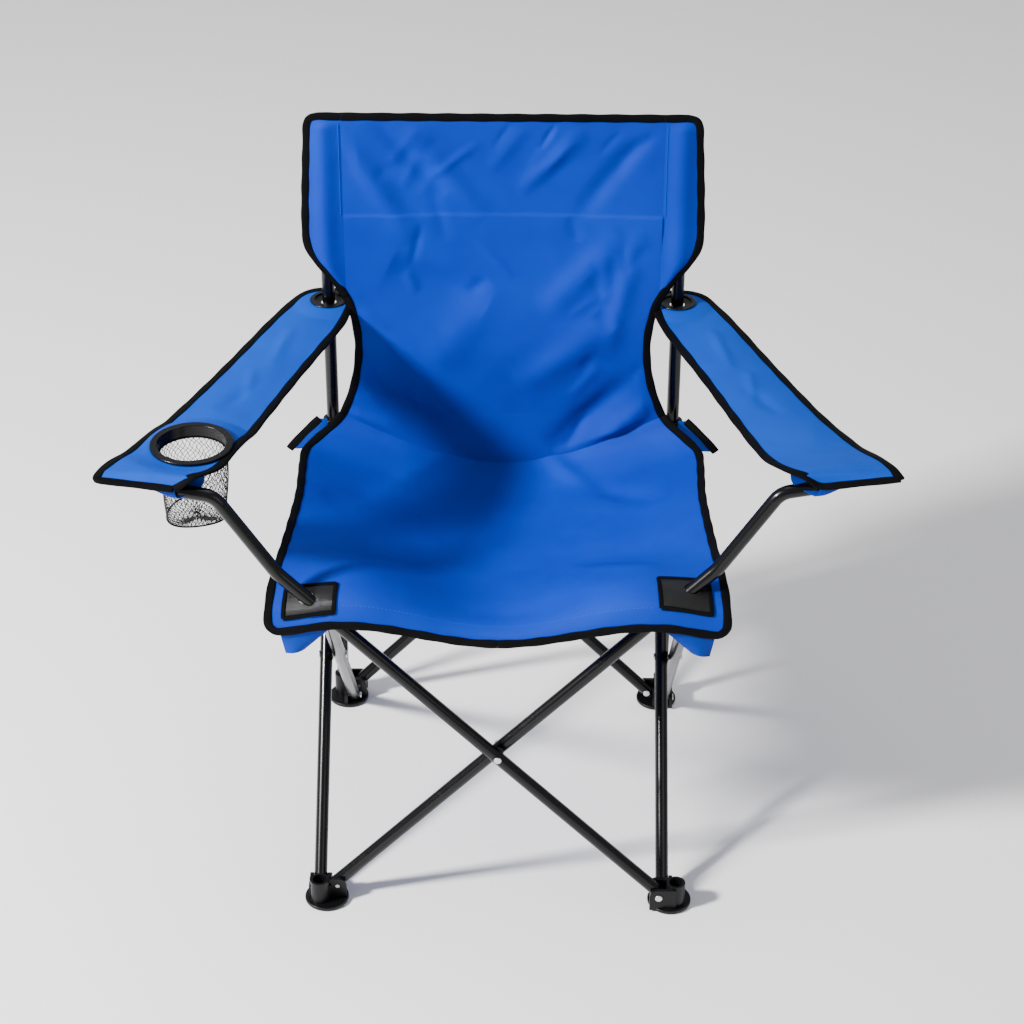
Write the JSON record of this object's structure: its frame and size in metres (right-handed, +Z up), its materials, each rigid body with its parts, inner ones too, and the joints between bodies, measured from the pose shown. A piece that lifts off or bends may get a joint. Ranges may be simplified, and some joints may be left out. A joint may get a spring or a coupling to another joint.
{
  "type": "folding camp chair",
  "caption": "Folding camp chair: crossed steel tubes on moulded feet, two back posts, a hanging cloth seat and back, cloth armrests and a net cup holder.",
  "frame": {"origin": "on the floor under the middle of the chair's box", "axes": "+Z up, +Y towards the back, +X to the right as the chair is seen from the front"},
  "size_m": [0.892, 0.5, 0.86],
  "materials": {
    "tube_steel": "black powder coat, satin",
    "foot_plastic": "black moulded polypropylene",
    "joint_plastic": "black moulded nylon",
    "rivet_steel": "zinc plated rivet",
    "washer_nylon": "nylon spacer",
    "cap_plastic": "black plastic plug",
    "cup_ring_plastic": "black moulded ring",
    "cup_net_mesh": "black knitted net",
    "eyelet_plastic": "black snap eyelet",
    "patch_vinyl": "black vinyl reinforcement",
    "binding_tape": "black woven binding tape",
    "cloth_lining": "blue polyester, coated side",
    "cloth_blue": "blue plain weave polyester"
  },
  "bodies": {
    "left_post_frame": {"rear_left_foot": "foot_plastic", "rear_left_foot_rivets": "rivet_steel", "left_back_post": "tube_steel", "left_post_cap": "cap_plastic", "left_back_sleeve": "cloth_blue", "back_cloth": "cloth_blue"},
    "right_post_frame": {"rear_right_foot": "foot_plastic", "rear_right_foot_rivets": "rivet_steel", "right_back_post": "tube_steel", "right_post_cap": "cap_plastic", "right_back_sleeve": "cloth_blue"},
    "rear_outer": {"rear_outer_tube": "tube_steel", "rear_cross_rivet": "rivet_steel", "rear_cross_washer": "washer_nylon"},
    "rear_inner": {"rear_inner_tube": "tube_steel"},
    "rear_left_slider": {"rear_left_slider": "joint_plastic", "rear_left_joint_rivets": "rivet_steel", "left_rear_tab": "binding_tape"},
    "rear_right_slider": {"rear_right_slider": "joint_plastic", "rear_right_joint_rivets": "rivet_steel", "right_rear_tab": "binding_tape"},
    "left_outer": {"left_outer_tube": "tube_steel", "left_cross_rivet": "rivet_steel", "left_cross_washer": "washer_nylon"},
    "left_inner": {"left_inner_tube": "tube_steel"},
    "right_outer": {"right_outer_tube": "tube_steel", "right_cross_rivet": "rivet_steel", "right_cross_washer": "washer_nylon"},
    "right_inner": {"right_inner_tube": "tube_steel"},
    "front_left_foot": {"front_left_foot": "foot_plastic", "front_left_foot_rivets": "rivet_steel"},
    "front_right_foot": {"front_right_foot": "foot_plastic", "front_right_foot_rivets": "rivet_steel"},
    "front_outer": {"front_outer_tube": "tube_steel", "left_arm_tube_cap": "cap_plastic", "front_cross_rivet": "rivet_steel", "front_cross_washer": "washer_nylon"},
    "front_inner": {"front_inner_tube": "tube_steel", "right_arm_tube_cap": "cap_plastic"},
    "front_left_hub": {"front_left_hub": "joint_plastic", "front_left_joint_rivets": "rivet_steel", "left_corner_pocket": "cloth_lining"},
    "front_right_hub": {"front_right_hub": "joint_plastic", "front_right_joint_rivets": "rivet_steel", "right_corner_pocket": "cloth_lining"},
    "seat_left": {"seat_cloth_left": "cloth_blue", "left_corner_patch": "patch_vinyl"},
    "seat_right": {"seat_cloth_right": "cloth_blue", "right_corner_patch": "patch_vinyl"},
    "left_armrest": {"left_armrest_cloth": "cloth_blue", "left_armrest_eyelet": "eyelet_plastic"},
    "right_armrest": {"right_armrest_cloth": "cloth_blue", "right_armrest_eyelet": "eyelet_plastic"},
    "cup_holder": {"cup_ring": "cup_ring_plastic", "cup_net": "cup_net_mesh"}
  },
  "joints": [
    {"name": "fold", "type": "hinge", "parent": "left_post_frame", "child": "rear_outer", "pos_m": [-0.1985, 0.221, 0.022], "axis": [0, -1, 0], "range_deg": [0, 32], "deforming": ["back_cloth", "seat_cloth_left", "seat_cloth_right", "left_corner_patch", "right_corner_patch", "left_armrest_cloth", "right_armrest_cloth", "cup_net", "left_corner_pocket", "right_corner_pocket", "left_rear_tab", "right_rear_tab"]},
    {"name": "rear_cross", "type": "hinge", "parent": "rear_outer", "child": "rear_inner", "pos_m": [0, 0.2125, 0.229], "axis": [0, 1, 0], "range_deg": [0, 64.5]},
    {"name": "rear_right_foot_pivot", "type": "hinge", "parent": "rear_inner", "child": "right_post_frame", "pos_m": [0.1985, 0.204, 0.022], "axis": [0, -1, 0], "range_deg": [0, 32.5]},
    {"name": "rear_right_slider_pivot", "type": "hinge", "parent": "rear_outer", "child": "rear_right_slider", "pos_m": [0.1985, 0.221, 0.436], "axis": [0, 1, 0], "range_deg": [0, 32.5]},
    {"name": "rear_left_slider_pivot", "type": "hinge", "parent": "rear_inner", "child": "rear_left_slider", "pos_m": [-0.1985, 0.204, 0.436], "axis": [0, -1, 0], "range_deg": [0, 32.5]},
    {"name": "left_low_pivot", "type": "hinge", "parent": "left_post_frame", "child": "left_inner", "pos_m": [-0.204, 0.1985, 0.014], "axis": [-1, 0, 0], "range_deg": [0, 32.5]},
    {"name": "left_cross", "type": "hinge", "parent": "left_inner", "child": "left_outer", "pos_m": [-0.2125, 0, 0.221], "axis": [1, 0, 0], "range_deg": [0, 64.5]},
    {"name": "front_left_foot_pivot", "type": "hinge", "parent": "left_outer", "child": "front_left_foot", "pos_m": [-0.221, -0.1985, 0.014], "axis": [-1, 0, 0], "range_deg": [0, 32.5]},
    {"name": "front_left_hub_pivot", "type": "hinge", "parent": "left_inner", "child": "front_left_hub", "pos_m": [-0.204, -0.1985, 0.428], "axis": [1, 0, 0], "range_deg": [0, 32.5]},
    {"name": "front_low_pivot", "type": "hinge", "parent": "front_left_foot", "child": "front_inner", "pos_m": [-0.1985, -0.204, 0.022], "axis": [0, -1, 0], "range_deg": [0, 32.5]},
    {"name": "front_cross", "type": "hinge", "parent": "front_inner", "child": "front_outer", "pos_m": [0, -0.2125, 0.229], "axis": [0, 1, 0], "range_deg": [0, 64.5]},
    {"name": "front_right_foot_pivot", "type": "hinge", "parent": "front_outer", "child": "front_right_foot", "pos_m": [0.1985, -0.221, 0.022], "axis": [0, -1, 0], "range_deg": [0, 32.5]},
    {"name": "front_right_hub_pivot", "type": "hinge", "parent": "front_inner", "child": "front_right_hub", "pos_m": [0.1985, -0.204, 0.436], "axis": [0, 1, 0], "range_deg": [0, 32.5]},
    {"name": "right_low_pivot", "type": "hinge", "parent": "right_post_frame", "child": "right_outer", "pos_m": [0.221, 0.1985, 0.014], "axis": [-1, 0, 0], "range_deg": [0, 32.5]},
    {"name": "right_cross", "type": "hinge", "parent": "right_outer", "child": "right_inner", "pos_m": [0.2125, 0, 0.221], "axis": [1, 0, 0], "range_deg": [0, 64.5]},
    {"name": "seat_left_edge", "type": "hinge", "parent": "rear_left_slider", "child": "seat_left", "pos_m": [-0.204, 0.2, 0.445], "axis": [0, 1, 0], "range_deg": [0, 72.17]},
    {"name": "seat_right_edge", "type": "hinge", "parent": "rear_right_slider", "child": "seat_right", "pos_m": [0.204, 0.2, 0.445], "axis": [0, -1, 0], "range_deg": [0, 72.17]},
    {"name": "left_armrest_swing", "type": "hinge", "parent": "left_post_frame", "child": "left_armrest", "pos_m": [-0.22, 0.22, 0.611], "axis": [-1, 0, 0], "range_deg": [0, 51.51]},
    {"name": "cup_slide", "type": "slide", "parent": "left_armrest", "child": "cup_holder", "axis": [0.5236, 0.852, 0], "range_m": [0, 0.219]},
    {"name": "right_armrest_swing", "type": "hinge", "parent": "right_post_frame", "child": "right_armrest", "pos_m": [0.22, 0.22, 0.611], "axis": [-1, 0, 0], "range_deg": [0, 54.59]}
  ],
  "couplings": [
    {"joint": "rear_cross", "follows": "fold", "ratio": 2},
    {"joint": "rear_right_foot_pivot", "follows": "fold", "ratio": 1},
    {"joint": "rear_right_slider_pivot", "follows": "fold", "ratio": 1},
    {"joint": "rear_left_slider_pivot", "follows": "fold", "ratio": 1},
    {"joint": "left_low_pivot", "follows": "fold", "ratio": 1},
    {"joint": "left_cross", "follows": "fold", "ratio": 2},
    {"joint": "front_left_foot_pivot", "follows": "fold", "ratio": 1},
    {"joint": "front_left_hub_pivot", "follows": "fold", "ratio": 1},
    {"joint": "front_low_pivot", "follows": "fold", "ratio": 1},
    {"joint": "front_cross", "follows": "fold", "ratio": 2},
    {"joint": "front_right_foot_pivot", "follows": "fold", "ratio": 1},
    {"joint": "front_right_hub_pivot", "follows": "fold", "ratio": 1},
    {"joint": "right_low_pivot", "follows": "fold", "ratio": 1},
    {"joint": "right_cross", "follows": "fold", "ratio": 2},
    {"joint": "seat_left_edge", "follows": "fold", "ratio": 2.2398},
    {"joint": "seat_right_edge", "follows": "fold", "ratio": 2.2398},
    {"joint": "left_armrest_swing", "follows": "fold", "ratio": 1.5941},
    {"joint": "cup_slide", "follows": "fold", "m_per_rad": 0.39033},
    {"joint": "right_armrest_swing", "follows": "fold", "ratio": 1.6903}
  ]
}
